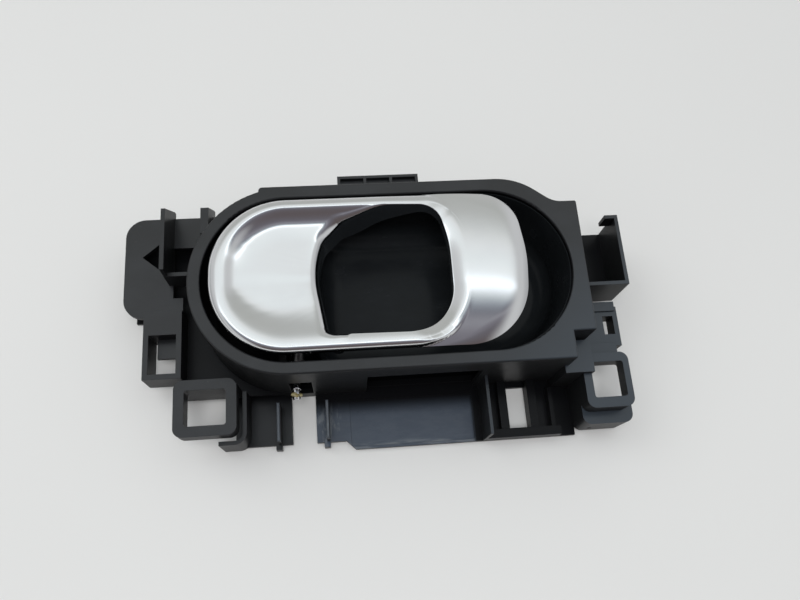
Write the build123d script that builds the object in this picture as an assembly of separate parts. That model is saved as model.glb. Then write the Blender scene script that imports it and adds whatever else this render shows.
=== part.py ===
from build123d import *
import os
from math import cos, sin, tan, radians

# Bezel: front opening, the ring round it and the skirt behind it
opening_length = 144.5
opening_width = 66.5
bezel_border = 4.95
bezel_right_border = 5.75
bezel_front = 42.0
flange_thickness = 2.5
skirt_wall = 2.0
edge_round = 0.7
flange_corner = 1.5
outline_corner = 0.8
top_flange_rise = 0.4
top_flange_reach = 10.8
shoulder_drop = 11.1
shoulder_run = 9.4
shoulder_slope = 38.0
shoulder_round = 26.0
shoulder_hollow = 10.0
notch_width = 9.0
notch_height = 10.7
back_web = 2.0
back_web_lift = 1.0
back_web_depth = 26.0

# Lever: outline, rim, dish, lip and pull panel
lever_gap_end = 3.4
lever_gap_side = 2.25
finger_recess = 18.0
lever_end_flat = 3.0
rim_outer = 3.3
rim_inner = 1.2
rim_height = 7.0
rim_proud = 5.5
rim_reach = 93.85
rim_round_upper = 13.0
rim_round_lower = 21.0
dish_depth = 4.0
dish_floor = 2.5
dish_slope = 58.0
dish_lap = 0.4
lip_from_pivot = 8.7
lip_radius = 65.0
lip_round = 3.0
lip_wall = 2.5
lip_drop = 15.5
panel_crest = 5.3
panel_wall = 3.0
panel_crown = 150.0
panel_sweep = 110.0
panel_round_upper = 15.0
panel_round_lower = 25.5
panel_bulge = 3.0
panel_bulge_rise = 4.0
panel_bulge_round = 60.0

# Pivot, crank and cable peg
pivot_inset = 32.25
pivot_depth = 11.5
pin_radius = 2.0
pin_running_gap = 0.05
pin_press_gap = 0.01
pin_blind_wall = 3.0
pin_end_chamfer = 0.4
pin_end_gap = 0.2
lug_radius = 4.5
lug_inset = 3.0
lug_width = 6.0
lug_sink = 0.8
boss_length = 3.7
crank_length = 15.0
crank_width = 6.0
crank_thickness = 3.5
peg_radius = 1.5
peg_stand = 4.2
peg_shoulder_radius = 1.9
peg_shoulder_stand = 0.3
pull_angle = 16.0
window_gap = 0.4
window_head = 3.5
window_sill = 7.0

# Return spring
wire_radius = 0.6
coil_gap = 0.4
coil_turns = 5.25
coil_pitch = 1.4
spring_leg_reach = 14.0
spring_seat_gap = 0.3
spring_rest_length = 5.0
spring_rest_width = 3.0

# Rest bumper and its post
bumper_radius = 3.0
bumper_stem_radius = 1.5
bumper_gap = 0.3
bumper_length = 3.0
bumper_drop = 12.0
post_margin = 1.0
post_thickness = 3.0

# Finger bowl
bowl_reveal = 0.4
bowl_wall = 2.0
bowl_depth = 32.0
bowl_draft = 5.0
bowl_fillet = 9.0
bowl_corner = 10.0
bowl_rim = 2.6
bowl_from_lip = 1.0
bowl_step = 18.0

# Left tab and the walls that stand on it
tab_reach = 29.8
tab_width = 43.5
tab_low = -6.0
tab_drop = 24.0
tab_thickness = 2.0
tab_corner = 8.0
tab_wall_from_edge = 18.2
tab_wall_thickness = 1.6
tab_wall_height = 18.0
tab_wall_length = 29.7
tab_wall_overrun = 3.1
tab_strip = 13.5
tab_fill = 8.0
tab_wall_lean = 6.8
second_wall_from_ring = 3.2
second_wall_thickness = 3.2
second_wall_height = 14.4
tab_rib_height = 10.8
arrow_width = 6.6
arrow_height = 11.0
arrow_from_edge = 7.0
arrow_rise = 26.5
tab_floor_inset = 3.0

# Left small eye
small_eye_out = 21.0
small_eye_width = 15.0
small_eye_height = 28.0
small_eye_bar = 2.1
small_eye_face = 10.0
small_eye_drop = 22.0
small_eye_depth = 14.0
tongue_length = 8.0
tongue_thickness = 2.0
eye_web = 2.0

# Left large eye
large_eye_width = 23.8
large_eye_height = 21.8
large_eye_bar = 4.0
large_eye_out = 7.5
large_eye_below = 17.9
large_eye_drop = 16.0
large_eye_depth = 8.0
eye_corner = 3.5
eye_hole_corner = 1.0
guard_wall = 1.6
guard_gap = 1.2
guard_return = 8.0
guard_bend = 4.0

# Lower deck: cable fork, tray and clip loop
deck_thickness = 2.5
deck_reach = 19.8
deck_left = 27.7
deck_right = 16.1
fork_gap = 9.8
fork_strip = 5.4
fork_rib = 1.2
fork_rib_height = 12.0
fork_rib_round = 0.5
fork_foot = 2.2
fork_foot_height = 5.0
fork_rib_clear = 4.5
deck_under_ring = 13.0
tray_reach = 23.4
tray_length = 57.5
tray_chamfer = 5.0
tray_margin = 3.2
tray_recess = 0.6
tray_lip = 1.0
large_window_left = 26.0
large_window_length = 45.0
large_window_head = 12.0
clip_gap = 8.9
clip_gap_from_tray = 10.9
clip_rail = 3.5
clip_rail_height = 7.0
clip_bar = 3.6
clip_bar_height = 8.0
clip_length = 39.0
clip_post = 1.75
clip_post_from_gap = 8.75
clip_wall_height = 21.0
clip_bar_short = 7.0

# Right eyes, ledge and bracket
ledge_width = 20.6
ledge_reach = 21.8
ledge_drop = 24.0
right_eye_width = 19.0
right_eye_height = 22.0
right_eye_hole = 13.2
right_eye_bar = 3.3
right_eye_low_bar = 4.1
right_eye_rise = 4.9
right_eye_hole_height = 14.2
right_eye_drop = 15.0
right_eye_depth = 7.0
right_strip_lap = 2.0
ledge_hole_radius = 1.0
ledge_hole_depth = 3.0
ledge_hole_x = 5.0
ledge_hole_z = 8.0
column_drop = 12.0
column_reach = 3.0
column_lap = 0.7
right_small_reach = 17.3
right_small_height = 16.8
right_small_low = 28.8
right_small_drop = 22.0
right_small_depth = 8.0
right_small_bar = 2.0
right_small_hole = 4.4
right_small_foot = 5.0
right_small_head = 4.0
bracket_reach = 21.0
bracket_wall = 1.5
bracket_low = -5.5
bracket_length = 31.0
bracket_drop = 12.0
bracket_height = 22.0
bracket_hook = 5.5
bracket_hook_height = 8.0

# Top block behind the straight flange
top_block_length = 34.0
top_block_shift = -1.2
top_block_reach = 9.8
top_block_drop = 14.0
top_block_plate = 2.0
top_block_rib = 1.2
top_block_rib_height = 2.0
top_block_ribs = 4

# Places that follow from the sizes above
half_length = opening_length / 2
half_width = opening_width / 2
end_x = half_length - half_width
ring_radius = half_width + bezel_border
wall_y = -ring_radius
inner_y = ring_radius - skirt_wall
left_x = -(end_x + ring_radius)
right_x = half_length + bezel_right_border
flange_y = ring_radius + top_flange_rise
flange_under = bezel_front - flange_thickness
lever_left = -half_length + lever_gap_end
lever_right = half_length - finger_recess
lever_half = half_width - lever_gap_side
lever_round_left = lever_half - lever_end_flat / 2
pivot_x = lever_left + pivot_inset
pivot_z = bezel_front - pivot_depth
rim_top = bezel_front + rim_proud
rim_mid = rim_top - rim_height / 2
rim_right = lever_left + rim_reach
dish_z = rim_top - dish_depth
dish_under = dish_z - dish_floor
lip_x = pivot_x + lip_from_pivot
crank_tilt = pull_angle / 2
crank_swing = crank_length * sin(radians(crank_tilt))
peg_x = pivot_x - crank_swing
peg_z = pivot_z - crank_length * cos(radians(crank_tilt))
lug_outer = lever_half - lug_inset
pin_hole_end = wall_y + pin_blind_wall
coil_radius = pin_radius + coil_gap + wire_radius
web_top = back_web_lift + back_web
bumper_face = peg_x - crank_width / 2 - bumper_gap
bumper_back = bumper_face - bumper_length
bumper_y = -lug_outer + crank_thickness / 2
bumper_z = pivot_z - bumper_drop
past = 1.0


def slab(x0, x1, y0, y1, z0, z1):
    middle = ((x0 + x1) / 2, (y0 + y1) / 2, (z0 + z1) / 2)
    return Pos(*middle) * Box(x1 - x0, y1 - y0, z1 - z0)


def prism(sketch, z0, z1):
    return extrude(Pos(0, 0, z0) * sketch, z1 - z0, dir=(0, 0, 1))


def rounded(x0, x1, y0, y1, corner):
    return Pos((x0 + x1) / 2, (y0 + y1) / 2) * RectangleRounded(x1 - x0, y1 - y0, corner)


def along_y(radius, x, z, y0, y1):
    return Pos(x, (y0 + y1) / 2, z) * Rot(X=90) * Cylinder(radius, y1 - y0)


def along_x(radius, y, z, x0, x1):
    return Pos((x0 + x1) / 2, y, z) * Rot(Y=90) * Cylinder(radius, x1 - x0)


# Outline of the bezel: a round left end, a straight top flange, a shouldered right end with a notch
def bezel_outline():
    slope_run = shoulder_drop / tan(radians(shoulder_slope))
    notch_x = right_x - notch_width
    notch_y = wall_y + notch_height
    shoulder_x = right_x - shoulder_run
    shoulder_y = flange_y - shoulder_drop
    flange_left = -end_x - top_flange_reach
    corners = {
        (flange_left, flange_y): flange_corner,
        (shoulder_x - slope_run, flange_y): shoulder_round,
        (shoulder_x, shoulder_y): shoulder_hollow,
        (right_x, shoulder_y): outline_corner,
        (right_x, notch_y): outline_corner,
        (notch_x, notch_y): 0,
        (notch_x, wall_y): outline_corner,
        (-end_x, wall_y): 0,
        (flange_left, 0): 0,
    }
    border = FilletPolyline(*corners.keys(), radius=list(corners.values()), close=True)
    return make_face(border) + Pos(-end_x, 0) * Circle(ring_radius)


# Left side, outside the skirt: the tab over its floor, with an arrow hole, standing walls and the eyes
def left_side():
    tab_x = left_x - tab_reach
    tab_top = bezel_front - tab_drop
    tab_under = tab_top - tab_thickness
    tab_high = tab_low + tab_width
    wall_x = tab_x + tab_wall_from_edge
    eye_right = left_x - small_eye_out + small_eye_width
    corner_plate = rounded(tab_x, wall_x + tab_wall_thickness, tab_low, tab_high, tab_corner)
    plate = prism(corner_plate, tab_under, tab_top)
    plate += slab(wall_x - tab_corner, -end_x, tab_high - tab_strip, tab_high, tab_under, tab_top)
    plate += slab(wall_x - tab_corner, eye_right, tab_low, tab_low + tab_fill, tab_under, tab_top)
    floor_z = bezel_front - small_eye_drop - small_eye_depth
    arrow_x = tab_x + arrow_from_edge
    arrow_y = tab_low + arrow_rise
    arrow = Polygon(
        (arrow_x, arrow_y),
        (arrow_x + arrow_width, arrow_y + arrow_height / 2),
        (arrow_x + arrow_width, arrow_y - arrow_height / 2),
        align=None,
    )
    plate -= prism(arrow, tab_under - past, tab_top + past)
    floor_x = tab_x + tab_floor_inset
    plate += slab(floor_x, -end_x, tab_low + past, tab_high - tab_floor_inset, floor_z, floor_z + eye_web)
    plate += slab(floor_x, floor_x + tab_wall_thickness, tab_low + tab_corner, tab_high - tab_corner,
                  floor_z, tab_top)

    wall_far = tab_high + tab_wall_overrun
    wall_near = tab_high - tab_wall_length
    wall_top = tab_top + tab_wall_height
    side = Polyline(
        (wall_near, tab_under),
        (wall_near, wall_top),
        (wall_far - tab_wall_lean, wall_top),
        (wall_far, tab_top),
        (wall_far, tab_under),
        close=True,
    )
    standing = extrude(Plane.YZ.offset(wall_x) * make_face(side), tab_wall_thickness)
    second_x = left_x + second_wall_from_ring
    second = extrude(Plane.YZ.offset(second_x) * make_face(side), second_wall_thickness)
    second &= slab(left_x, 0, tab_high - tab_strip, wall_far, 0, tab_top + second_wall_height)
    rib_y = tab_low + tab_strip
    rib = slab(wall_x, -end_x, rib_y, rib_y + tab_wall_thickness, tab_under, tab_top + tab_rib_height)
    return plate + standing + second + rib + small_left_eye() + large_left_eye()


# Small eye: a square socket with a spring tongue across half of it, and the web that carries it
def small_left_eye():
    x0 = left_x - small_eye_out
    x1 = x0 + small_eye_width
    y1 = tab_low + small_eye_bar
    y0 = y1 - small_eye_height
    top = bezel_front - small_eye_drop
    low = top - small_eye_depth
    bar = small_eye_bar
    hole_top = y1 - small_eye_face
    eye = slab(x0, x1, y0, y1, low, top)
    eye -= slab(x0 + bar, x1 - bar, y0 + bar, hole_top, low - past, top + past)
    tongue_z = (low + top) / 2
    tongue_y = hole_top - tongue_length
    eye += slab(x0 + 2 * bar, x1 - bar, tongue_y, hole_top + bar, tongue_z - tongue_thickness, tongue_z)
    return eye + slab(x1 - bar, -end_x, wall_y, tab_low + tab_strip, low, low + eye_web)


# Large eye: a rounded frame on the end of a web, with a bent guard wall beside it
def large_left_eye():
    x0 = left_x - large_eye_out
    x1 = x0 + large_eye_width
    y0 = wall_y - large_eye_below
    y1 = y0 + large_eye_height
    top = bezel_front - large_eye_drop
    low = top - large_eye_depth
    bar = large_eye_bar
    frame = rounded(x0, x1, y0, y1, eye_corner)
    frame -= rounded(x0 + bar, x1 - bar, y0 + bar, y1 - bar, eye_hole_corner)
    eye = prism(frame, low, top)
    eye += slab(x0, x1, y1 - bar, y1 - bar / 2, bezel_front - small_eye_drop - small_eye_depth, top - past)
    guard_x = x1 + guard_gap + guard_wall / 2
    guard_y = y0 - guard_gap - guard_wall / 2
    bend = FilletPolyline(
        (guard_x, wall_y), (guard_x, guard_y), (x1 - guard_return, guard_y), radius=guard_bend)
    return eye + prism(trace(bend, guard_wall), 0, low)


# Lower deck: a plate below the lower wall with the cable fork, the tray and the clip loop
def lower_deck():
    deck_y = wall_y - deck_reach
    gap_left = pivot_x - fork_gap / 2
    gap_right = pivot_x + fork_gap / 2
    tray_x = gap_right + deck_right - fork_strip
    deck = slab(pivot_x - deck_left, tray_x + past, deck_y, wall_y + deck_under_ring, 0, deck_thickness)
    deck -= slab(gap_left, gap_right, deck_y - past, wall_y, -past, deck_thickness + past)
    rib_top = deck_thickness + fork_rib_height
    for rib_x in (gap_left - fork_strip, gap_right + fork_strip - fork_rib):
        foot_y = deck_y - fork_foot
        rib = slab(rib_x, rib_x + fork_rib, deck_y, wall_y - fork_rib_clear, 0, rib_top)
        deck += fillet(rib.faces().sort_by(Axis.Z)[-1].edges(), fork_rib_round)
        deck += slab(rib_x - fork_rib, rib_x + fork_rib, foot_y, deck_y + fork_rib, 0, fork_foot_height)

    tray_y = wall_y - tray_reach
    tray_end = tray_x + tray_length
    tray = Polygon(
        (tray_x, -inner_y),
        (tray_end, -inner_y),
        (tray_end, tray_y),
        (tray_x + tray_chamfer, tray_y),
        (tray_x, tray_y + tray_chamfer),
        align=None,
    )
    deck += prism(tray, 0, deck_thickness)
    deck -= slab(tray_x + tray_margin, tray_end - tray_margin, tray_y + tray_lip, wall_y - tray_margin,
                 deck_thickness - tray_recess, deck_thickness + past)
    return deck + clip_loop(tray_end)


# Clip loop: two rails either side of a slot, closed by a bar along the front
def clip_loop(start):
    low_y = wall_y - tray_reach
    gap_x = start + clip_gap_from_tray
    gap_end = gap_x + clip_gap
    post_x = gap_end + clip_post_from_gap
    loop = slab(start, start + clip_length, low_y, -inner_y, 0, deck_thickness)
    loop += slab(start, start + clip_length - clip_bar_short, low_y, low_y + clip_bar, 0, clip_bar_height)
    loop += slab(start, start + fork_rib, low_y, -inner_y, 0, clip_wall_height)
    for rail_x in (gap_x - clip_rail, gap_end):
        loop += slab(rail_x, rail_x + clip_rail, low_y + past, -inner_y, 0, clip_rail_height)
    loop += slab(post_x, post_x + clip_post, low_y, wall_y - clip_rail, 0, clip_rail_height)
    return loop - slab(gap_x, gap_end, low_y + clip_bar, wall_y - skirt_wall, -past, clip_rail_height + past)


# Right side: ledge with the large eye, the notch column, the small eye and the bracket
def right_side():
    x0 = right_x - column_reach
    ledge_y = wall_y - ledge_reach
    ledge_top = bezel_front - ledge_drop
    eye_top = bezel_front - right_eye_drop
    eye_low = ledge_y + right_eye_rise
    eye_high = eye_low + right_eye_height
    hole_x = x0 + right_eye_bar
    hole_y = eye_low + right_eye_low_bar
    hole = rounded(hole_x, hole_x + right_eye_hole, hole_y, hole_y + right_eye_hole_height, eye_hole_corner)
    side = prism(rounded(x0, x0 + ledge_width, ledge_y, eye_high, eye_corner), deck_thickness, ledge_top)
    side += prism(rounded(x0, x0 + right_eye_width, eye_low, eye_high, eye_corner), ledge_top, eye_top)
    side += slab(x0, x0 + clip_rail, ledge_y + eye_corner, wall_y, 0, ledge_top)
    side -= prism(hole, 0, eye_top + past)
    frame_low = eye_top - right_eye_depth
    side -= slab(hole_x, x0 + ledge_width + past, hole_y, eye_high + past, 0, frame_low)
    ledge_hole = (ledge_y - past, ledge_y + ledge_hole_depth)
    side -= along_y(ledge_hole_radius, x0 + ledge_hole_x, ledge_hole_z, *ledge_hole)
    notch_x = right_x - notch_width
    side += slab(notch_x - skirt_wall, right_x + column_lap, wall_y - column_reach,
                 wall_y + notch_height - column_lap, deck_thickness, bezel_front - column_drop)

    top = bezel_front - right_small_drop
    low = top - right_small_depth
    small_y0 = -right_small_low
    small_y1 = small_y0 + right_small_height
    x1 = right_x + right_small_reach
    bar = right_small_bar
    small = slab(right_x - skirt_wall, x1, small_y0, small_y1, low, top)
    small -= slab(x1 - bar - right_small_hole, x1 - bar, small_y0 + right_small_foot,
                  small_y1 - right_small_head, low - past, top + past)
    small += slab(right_x - skirt_wall, x1 - past, small_y1 - bar, small_y1 + bar, low, top + past)
    strip = slab(x0 + eye_corner, x0 + ledge_width - eye_corner, eye_high - past, small_y0 + past,
                 low, frame_low + right_strip_lap)
    return side + small + strip + bracket()


# Bracket: a floor, a lower wall and an outer wall that ends in a short hook
def bracket():
    top = bezel_front - bracket_drop
    low = top - bracket_height
    x0 = right_x - skirt_wall
    x1 = right_x + bracket_reach
    y1 = bracket_low + bracket_length
    arm = slab(x0, x1, bracket_low, bracket_low + bracket_wall, low, top)
    arm += slab(x1 - bracket_wall, x1, bracket_low, y1, low, top)
    arm += slab(x0, x1, bracket_low, y1, low, low + bracket_wall)
    return arm + slab(x1 - bracket_hook, x1, y1 - bracket_wall, y1, top - bracket_hook_height, top)


# Top block behind the straight flange: a plate with an outer bead and cross ribs
def top_block():
    x0 = top_block_shift - top_block_length / 2
    x1 = x0 + top_block_length
    top = bezel_front - top_block_drop
    rib_top = top + top_block_rib_height
    y1 = flange_y + top_block_reach
    block = slab(x0, x1, inner_y, y1, top - top_block_plate, top)
    block += slab(x0, x1, y1 - top_block_rib, y1, top - 2 * top_block_plate, rib_top)
    step = (top_block_length - top_block_rib) / (top_block_ribs - 1)
    for i in range(top_block_ribs):
        rib_x = x0 + i * step
        block += slab(rib_x, rib_x + top_block_rib, inner_y, y1, top, rib_top)
    return block


# Inside the skirt: back web, pivot bosses and the bumper's post
def inside():
    left_part = slab(left_x, lip_x, wall_y, ring_radius, back_web_lift, web_top)
    lower_part = slab(left_x, right_x, wall_y, wall_y + back_web_depth, back_web_lift, web_top)
    web = (left_part + lower_part) & prism(offset(bezel_outline(), -skirt_wall / 2), 0, web_top)
    bosses = along_y(lug_radius, pivot_x, pivot_z, inner_y - boss_length, inner_y + skirt_wall / 2)
    bosses += along_y(lug_radius, pivot_x, pivot_z, -inner_y - skirt_wall / 2, -inner_y + boss_length)
    post_half = bumper_radius + post_margin
    post = slab(bumper_back - post_thickness, bumper_back, bumper_y - post_half, bumper_y + post_half,
                back_web_lift, bumper_z + post_half)
    post -= along_x(bumper_stem_radius + pin_press_gap, bumper_y, bumper_z,
                    bumper_back - post_thickness - past, bumper_back + past)
    return web + bosses + post


def housing():
    outline = bezel_outline()
    opening = SlotOverall(opening_length, opening_width)
    flange = prism(outline - opening, flange_under, bezel_front)
    flange = fillet(flange.faces().sort_by(Axis.Z)[-1].edges(), edge_round)
    skirt = prism(outline - offset(outline, -skirt_wall), 0, flange_under)
    outside = left_side() + lower_deck() + right_side() + top_block()
    outside -= prism(offset(outline, -skirt_wall / 2), -past, bezel_front)
    body = flange + skirt + outside + inside()

    window_half = crank_swing + peg_shoulder_radius + window_gap
    window_in = -inner_y + skirt_wall
    body -= slab(pivot_x - window_half, pivot_x + window_half, wall_y - past, window_in,
                 window_sill, pivot_z - window_head)
    window_x = pivot_x + large_window_left
    body -= slab(window_x, window_x + large_window_length, wall_y - past, -inner_y,
                 deck_thickness, bezel_front - large_window_head)
    return body - along_y(pin_radius + pin_press_gap, pivot_x, pivot_z, pin_hole_end, ring_radius + past)


# Outline of the lever, with rounder corners at the left; the rim's middle line lies inset from it
def rim_path():
    half = lever_half - rim_outer
    left = lever_left + rim_outer
    round_left = lever_round_left - rim_outer
    return FilletPolyline(
        (left, half),
        (rim_right, half),
        (rim_right, -half),
        (left, -half),
        radius=[round_left, rim_round_upper, rim_round_lower, round_left],
        close=True,
    )


def lever_outline():
    bulge_x = lever_right - panel_bulge
    border = FilletPolyline(
        (lever_left, lever_half),
        (bulge_x, lever_half),
        (lever_right, panel_bulge_rise),
        (bulge_x, -lever_half),
        (lever_left, -lever_half),
        radius=[lever_round_left, panel_round_upper, panel_bulge_round, panel_round_lower, lever_round_left],
        close=True,
    )
    return make_face(border)


# Pull panel: a shell crowned both ways, cut to the lever's outline, outside the rim's loop
def pull_panel(loop):
    crest = bezel_front + panel_crest
    sag = panel_crown - (panel_crown ** 2 - lever_half ** 2) ** 0.5
    edge = crest - sag
    over = ThreePointArc((-lever_half, edge), (0, crest), (lever_half, edge))
    under = Pos(0, -panel_wall) * over
    profile = make_face([over, Line(over @ 1, under @ 1), under, Line(under @ 0, over @ 0)])
    axis = Axis((rim_right, 0, crest - panel_sweep), (0, 1, 0))
    shell = revolve(Plane.YZ.offset(rim_right) * profile, axis, 360)
    start_x = rim_right - rim_round_lower
    ahead = Pos((start_x + lever_right) / 2, 0) * Rectangle(lever_right - start_x, 2 * lever_half)
    region = (lever_outline() - loop) & ahead
    return shell & prism(region, dish_under, rim_top)


# Dish: a tapered pocket left of the lip, and the lip that rolls over into the bowl
def dish(loop):
    lip_axis_x = lip_x + lip_radius
    bend_radius = lip_radius + lip_round
    pan = prism(loop, dish_under, rim_mid)
    pan -= Pos(lip_axis_x, 0, (dish_under + rim_mid) / 2) * Cylinder(bend_radius, 2 * dish_depth)
    mouth = offset(loop, dish_lap - rim_inner)
    pan -= extrude(Pos(0, 0, rim_mid) * mouth, dish_z - rim_mid, taper=dish_slope)

    bend_z = dish_z - lip_round
    foot_z = dish_z - lip_drop
    outer = -lip_radius
    inner = outer - lip_wall
    start = outer - lip_round
    lap = start - lip_wall
    profile = make_face([
        Line((outer, foot_z), (outer, bend_z)),
        RadiusArc((outer, bend_z), (start, dish_z), -lip_round),
        Line((start, dish_z), (lap, dish_z)),
        Line((lap, dish_z), (lap, dish_z - lip_wall)),
        Line((lap, dish_z - lip_wall), (start, dish_z - lip_wall)),
        RadiusArc((start, dish_z - lip_wall), (inner, bend_z), lip_round - lip_wall),
        Line((inner, bend_z), (inner, foot_z)),
        Line((inner, foot_z), (outer, foot_z)),
    ])
    lip = revolve(Pos(lip_axis_x, 0, 0) * Plane.XZ * profile, Axis((lip_axis_x, 0, 0), (0, 0, 1)), 360)
    lip &= prism(loop, 0, rim_mid) & slab(lever_left, lip_axis_x, -lever_half, lever_half, 0, rim_mid)
    return pan + lip


# Hinge lugs and the spring's rest under the dish, the crank arm and the cable peg
def hinge_arm():
    arm = Part()
    for side in (-1, 1):
        y0, y1 = sorted((side * lug_outer, side * (lug_outer - lug_width)))
        arm += along_y(lug_radius, pivot_x, pivot_z, y0, y1)
        arm += slab(pivot_x - lug_radius, pivot_x + lug_radius, y0, y1, pivot_z, dish_under + lug_sink)
    rest_x = pivot_x - spring_leg_reach + wire_radius
    rest_y = -coil_pitch * coil_turns / 2
    rest_z = pivot_z + coil_radius + wire_radius + spring_seat_gap
    arm += slab(rest_x, rest_x + spring_rest_length, rest_y - spring_rest_width / 2,
                rest_y + spring_rest_width / 2, rest_z, dish_under + lug_sink)
    crank = SlotCenterToCenter(crank_length, crank_width)
    crank_y = -lug_outer + crank_thickness
    middle = ((pivot_x + peg_x) / 2, crank_y, (pivot_z + peg_z) / 2)
    crank_plane = Plane(origin=middle, x_dir=(1, 0, 0), z_dir=(0, -1, 0))
    arm += extrude(crank_plane * Rot(Z=90 - crank_tilt) * crank, crank_thickness)
    peg = along_y(peg_radius, peg_x, peg_z, wall_y - peg_stand, crank_y)
    arm += chamfer(peg.faces().sort_by(Axis.Y)[0].edges(), pin_end_chamfer)
    arm += along_y(peg_shoulder_radius, peg_x, peg_z, wall_y - peg_shoulder_stand, crank_y)
    return arm - along_y(pin_radius + pin_running_gap, pivot_x, pivot_z, -lever_half, lever_half)


def lever():
    path = rim_path()
    loop = make_face(path)
    start = Plane(origin=path @ 0, x_dir=(0, 0, 1), z_dir=path % 0)
    outer = EllipticalCenterArc((0, 0), rim_height / 2, rim_outer, 180, arc_size=180)
    inner = EllipticalCenterArc((0, 0), rim_height / 2, rim_inner, 0, arc_size=180)
    rim = sweep(start * make_face([outer, inner]), path=path)
    return Pos(0, 0, rim_mid) * rim + pull_panel(loop) + dish(loop) + hinge_arm()


def pivot_pin():
    pin = along_y(pin_radius, pivot_x, pivot_z, pin_hole_end + pin_end_gap, ring_radius)
    return chamfer(pin.edges().filter_by(GeomType.CIRCLE), pin_end_chamfer)


# Torsion spring on the pin: one leg stands on the back web, the other lies under the dish
def return_spring():
    height = coil_pitch * coil_turns
    coil_path = Helix(coil_pitch, height, coil_radius)
    section = Plane(origin=coil_path @ 0, z_dir=coil_path % 0) * Circle(wire_radius)
    spring = sweep(section, path=coil_path, is_frenet=True)
    foot = pivot_z - web_top - spring_seat_gap
    spring += Pos(coil_radius, -foot / 2, 0) * Rot(X=90) * Cylinder(wire_radius, foot)
    leg = Rot(Y=90) * Cylinder(wire_radius, spring_leg_reach)
    spring += Pos(-spring_leg_reach / 2, coil_radius, height) * leg
    place = Plane(origin=(pivot_x, height / 2, pivot_z), x_dir=(1, 0, 0), z_dir=(0, -1, 0))
    return place * spring


def rest_bumper():
    head = along_x(bumper_radius, bumper_y, bumper_z, bumper_back, bumper_face)
    return head + along_x(bumper_stem_radius, bumper_y, bumper_z, bumper_back - post_thickness, bumper_face)


# Finger bowl: a drafted cup that hangs by its rim under the flange, with a low left wall under the lip
def finger_bowl():
    bowl_x = lip_x - bowl_from_lip
    slot = SlotOverall(opening_length - 2 * bowl_reveal, opening_width - 2 * bowl_reveal)
    mouth = slot & Pos((bowl_x + right_x) / 2, 0) * Rectangle(right_x - bowl_x, 2 * ring_radius)
    mouth = fillet(mouth.vertices().group_by(Axis.X)[0], bowl_corner)
    floor_z = bezel_front - bowl_depth
    inner = extrude(Pos(0, 0, flange_under) * mouth, floor_z - flange_under, taper=bowl_draft)
    inner = fillet(inner.faces().sort_by(Axis.Z)[0].edges(), bowl_fillet)
    outer_mouth = Pos(0, 0, flange_under) * offset(mouth, bowl_wall)
    outer = extrude(outer_mouth, floor_z - bowl_wall - flange_under, taper=bowl_draft)
    outer = fillet(outer.faces().sort_by(Axis.Z)[0].edges(), bowl_fillet + bowl_wall)
    rim = prism(offset(mouth, bowl_rim), flange_under - bowl_wall, flange_under)
    bowl = outer + rim - inner
    step_z = bezel_front - bowl_step
    return bowl - slab(left_x, bowl_x + bowl_corner, -ring_radius, ring_radius, step_z, bezel_front)


pieces = {
    "housing": housing(),
    "finger_bowl": finger_bowl(),
    "lever": lever(),
    "pivot_pin": pivot_pin(),
    "return_spring": return_spring(),
    "rest_bumper": rest_bumper(),
}

# The origin is the middle of the whole handle, on the surface that it lies on
whole = Compound(children=[Compound(piece.solids()) for piece in pieces.values()]).bounding_box()
to_origin = Pos(-whole.center().X, -whole.center().Y, -whole.min.Z)
os.makedirs("parts", exist_ok=True)
for name, piece in pieces.items():
    export_step(to_origin * piece, f"parts/{name}.step")
print("moved by", -whole.center().X, -whole.center().Y, -whole.min.Z)
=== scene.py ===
import bpy
import bmesh
from math import asin, cos, hypot, pi, radians, sin, sqrt, tan
from mathutils import Matrix, Vector, noise


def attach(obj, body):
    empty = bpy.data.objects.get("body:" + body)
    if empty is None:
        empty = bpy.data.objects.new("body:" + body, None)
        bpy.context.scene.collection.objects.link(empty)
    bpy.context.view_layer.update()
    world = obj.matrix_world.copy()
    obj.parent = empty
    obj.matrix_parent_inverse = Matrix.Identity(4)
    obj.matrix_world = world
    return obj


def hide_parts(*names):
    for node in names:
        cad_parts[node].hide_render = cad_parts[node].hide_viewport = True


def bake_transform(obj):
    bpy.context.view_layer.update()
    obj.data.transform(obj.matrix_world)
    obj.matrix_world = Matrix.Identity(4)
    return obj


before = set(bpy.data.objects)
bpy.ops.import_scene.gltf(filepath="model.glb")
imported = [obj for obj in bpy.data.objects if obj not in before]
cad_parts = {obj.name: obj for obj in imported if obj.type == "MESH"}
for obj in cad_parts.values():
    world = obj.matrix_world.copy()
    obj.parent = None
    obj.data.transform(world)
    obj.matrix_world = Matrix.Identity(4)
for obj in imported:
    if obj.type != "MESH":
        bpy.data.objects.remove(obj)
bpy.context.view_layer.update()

scene = bpy.context.scene
print("frame loaded:", sorted(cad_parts))

mm = 0.001
handleOrigin = Vector((4.0, 6.6, 0.0))      # middle of the lever opening, in mm


# A camera that stands where the picture was taken from, above and a little in front
cameraSizes = {
    "place": (-0.0171, -0.0948, 0.3085),
    "right": (0.99506, -0.07518, 0.06492),
    "up": (0.05035, 0.94514, 0.32278),
    "lens": 33.3,
    "sensor": 36.0,
    "near": 0.01,
}


def makeCamera(c):
    camera = bpy.data.objects.new("camera", bpy.data.cameras.new("camera"))
    scene.collection.objects.link(camera)
    right = Vector(c["right"]).normalized()
    up = Vector(c["up"])
    up = (up - right * up.dot(right)).normalized()
    turn = Matrix((right, up, right.cross(up))).transposed()
    camera.matrix_world = Matrix.Translation(c["place"]) @ turn.to_4x4()
    camera.data.lens = c["lens"]
    camera.data.sensor_width = c["sensor"]
    camera.data.clip_start = c["near"]
    scene.camera = camera


makeCamera(cameraSizes)
scene.view_settings.view_transform = "Standard"
print("camera set")


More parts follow.
